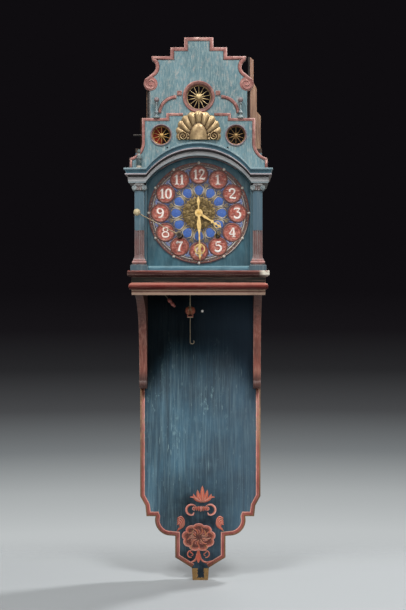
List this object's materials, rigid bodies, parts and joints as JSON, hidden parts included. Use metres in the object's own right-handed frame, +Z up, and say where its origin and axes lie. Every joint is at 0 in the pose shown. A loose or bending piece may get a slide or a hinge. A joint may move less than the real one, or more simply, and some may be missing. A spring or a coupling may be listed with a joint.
{
  "type": "wall clock",
  "caption": "Painted hooded wall clock on a long shaped tail board, with arched dial, stepped crest, winding crank, bells, movement and hanging pulley.",
  "frame": {"origin": "centre of the hanging hole at the back face of the backboard", "axes": "+Z up along the tail board, +Y backward into the wall, +X to the viewer's right; the dial faces -Y"},
  "size_m": [0.34, 0.188, 1.287],
  "materials": {
    "deep_blue_paint": "worn matt oil paint",
    "light_blue_paint": "worn matt oil paint",
    "moulding_paint": "worn matt oil paint with pale edges",
    "red_paint": "worn brick-red paint",
    "bare_oak": "unfinished, darkened",
    "gilding": "rubbed gilding",
    "worn_brass": "dull, rubbed on the high points",
    "dial_paint": "painted with blue cells and leaves",
    "cartouche_paint": "brick-red enamel paint",
    "clock_brass": "satin",
    "old_iron": "dark, worn",
    "bell_metal": "dull bronze",
    "turned_wood": "waxed and worn",
    "toggle_paint": "worn red paint",
    "line_cord": "twisted line"
  },
  "bodies": {
    "case": {"backboard": "deep_blue_paint", "bracket_left": "red_paint", "bracket_right": "red_paint", "shelf_board": "bare_oak", "shelf_moulding": "red_paint", "hood_side_left": "deep_blue_paint", "hood_side_right": "deep_blue_paint", "hood_front": "deep_blue_paint", "hood_roof": "bare_oak", "cornice_left": "moulding_paint", "cornice_right": "moulding_paint", "arch_moulding": "moulding_paint", "pilaster_left": "red_paint", "pilaster_right": "red_paint", "capitals": "moulding_paint", "window_sill": "moulding_paint", "lower_crest": "light_blue_paint", "upper_crest": "light_blue_paint", "shell_ornament": "gilding", "crest_mouldings": "red_paint", "sun_rosettes": "worn_brass", "finials": "light_blue_paint", "bell_side_left": "bare_oak", "bell_side_right": "bare_oak", "nails": "old_iron", "dial_board": "deep_blue_paint", "dial_plate": "dial_paint", "numeral_cartouches": "cartouche_paint", "dial_centre": "worn_brass", "dial_feet": "clock_brass", "seat_board": "bare_oak", "front_plate": "clock_brass", "back_plate": "clock_brass", "plate_pillars": "clock_brass", "bell_stand": "old_iron", "large_bell": "bell_metal", "small_bell": "bell_metal", "winding_line": "line_cord"},
    "hands": {"minute_hand": "worn_brass", "cannon_pinion": "clock_brass"},
    "hour_pipe": {"hour_hand": "worn_brass", "hour_wheel": "clock_brass"},
    "intermediate": {"minute_wheel": "clock_brass"},
    "centre": {"centre_wheel": "clock_brass"},
    "going_great": {"going_great_wheel": "clock_brass"},
    "third": {"third_wheel": "clock_brass"},
    "escape": {"escape_wheel": "clock_brass"},
    "pendulum": {"pallets": "old_iron", "pendulum": "old_iron"},
    "right_barrel": {"right_barrel": "clock_brass"},
    "left_barrel": {"left_barrel": "clock_brass", "winding_crank": "old_iron"},
    "strike_great": {"strike_great_wheel": "clock_brass"},
    "pin": {"pin_wheel": "clock_brass"},
    "fly": {"fly": "clock_brass"},
    "large_hammer": {"large_bell_hammer": "old_iron"},
    "small_hammer": {"small_bell_hammer": "old_iron"},
    "pulley": {"pulley_block": "turned_wood"},
    "sheave": {"pulley_sheave": "turned_wood"},
    "toggle": {"pull_toggle": "toggle_paint"}
  },
  "joints": [
    {"name": "hands_turn", "type": "hinge", "parent": "case", "child": "hands", "pos_m": [0, -0.118, -0.18], "axis": [0, 1, 0], "continuous": true},
    {"name": "hour_turn", "type": "hinge", "parent": "case", "child": "hour_pipe", "pos_m": [0, -0.118, -0.18], "axis": [0, 1, 0], "continuous": true},
    {"name": "intermediate_turn", "type": "hinge", "parent": "case", "child": "intermediate", "pos_m": [-0.01879, -0.104, -0.17316], "axis": [0, 1, 0], "continuous": true},
    {"name": "third_turn", "type": "hinge", "parent": "case", "child": "third", "pos_m": [-0.02599, -0.068, -0.14449], "axis": [0, 1, 0], "continuous": true},
    {"name": "centre_turn", "type": "hinge", "parent": "case", "child": "centre", "pos_m": [0, -0.068, -0.18], "axis": [0, 1, 0], "continuous": true},
    {"name": "going_great_turn", "type": "hinge", "parent": "case", "child": "going_great", "pos_m": [0.0435, -0.047, -0.2332], "axis": [0, 1, 0], "continuous": true},
    {"name": "escape_turn", "type": "hinge", "parent": "case", "child": "escape", "pos_m": [0, -0.068, -0.11201], "axis": [0, 1, 0], "continuous": true},
    {"name": "pendulum_swing", "type": "hinge", "parent": "case", "child": "pendulum", "pos_m": [0, -0.04, -0.08601], "axis": [0, 1, 0], "range_deg": [-3, 3]},
    {"name": "right_barrel_turn", "type": "hinge", "parent": "case", "child": "right_barrel", "pos_m": [0.0435, -0.075, -0.2332], "axis": [0, 1, 0], "continuous": true},
    {"name": "crank_turn", "type": "hinge", "parent": "case", "child": "left_barrel", "pos_m": [-0.0435, -0.1, -0.2332], "axis": [0, 1, 0], "range_deg": [0, 3220]},
    {"name": "pulley_travel", "type": "slide", "parent": "case", "child": "pulley", "axis": [0, 0, -1], "range_m": [0, 0.6], "deforming": ["winding_line"]},
    {"name": "sheave_turn", "type": "hinge", "parent": "pulley", "child": "sheave", "pos_m": [-0.0222, -0.074, -0.407], "axis": [1, 0, 0], "range_deg": [0, 4050]},
    {"name": "pin_turn", "type": "hinge", "parent": "case", "child": "pin", "pos_m": [-0.072, -0.06, -0.17067], "axis": [0, 1, 0], "continuous": true},
    {"name": "strike_great_turn", "type": "hinge", "parent": "case", "child": "strike_great", "pos_m": [-0.0435, -0.054, -0.2332], "axis": [0, 1, 0], "continuous": true},
    {"name": "fly_turn", "type": "hinge", "parent": "case", "child": "fly", "pos_m": [-0.07799, -0.07, -0.1425], "axis": [0, 1, 0], "continuous": true},
    {"name": "large_hammer_swing", "type": "hinge", "parent": "case", "child": "large_hammer", "pos_m": [-0.066, -0.076, -0.023], "axis": [0, 1, 0], "range_deg": [-14, 0], "stiffness_Nm_per_rad": 0.03},
    {"name": "small_hammer_swing", "type": "hinge", "parent": "case", "child": "small_hammer", "pos_m": [0.066, -0.076, -0.023], "axis": [0, 1, 0], "range_deg": [0, 14], "stiffness_Nm_per_rad": 0.05},
    {"name": "toggle_pull", "type": "slide", "parent": "case", "child": "toggle", "axis": [0.6428, 0, -0.766], "range_m": [0, 0.012], "stiffness_N_per_m": 60}
  ],
  "couplings": [
    {"joint": "intermediate_turn", "follows": "hands_turn", "ratio": -0.33333},
    {"joint": "hour_turn", "follows": "hands_turn", "ratio": 0.083333},
    {"joint": "centre_turn", "follows": "third_turn", "ratio": -0.1},
    {"joint": "going_great_turn", "follows": "third_turn", "ratio": 0.016667},
    {"joint": "escape_turn", "follows": "third_turn", "ratio": -12},
    {"joint": "strike_great_turn", "follows": "pin_turn", "ratio": -0.16667},
    {"joint": "fly_turn", "follows": "pin_turn", "ratio": -8},
    {"joint": "pulley_travel", "follows": "crank_turn", "m_per_rad": 0.01065},
    {"joint": "sheave_turn", "follows": "crank_turn", "ratio": 1.2529}
  ]
}
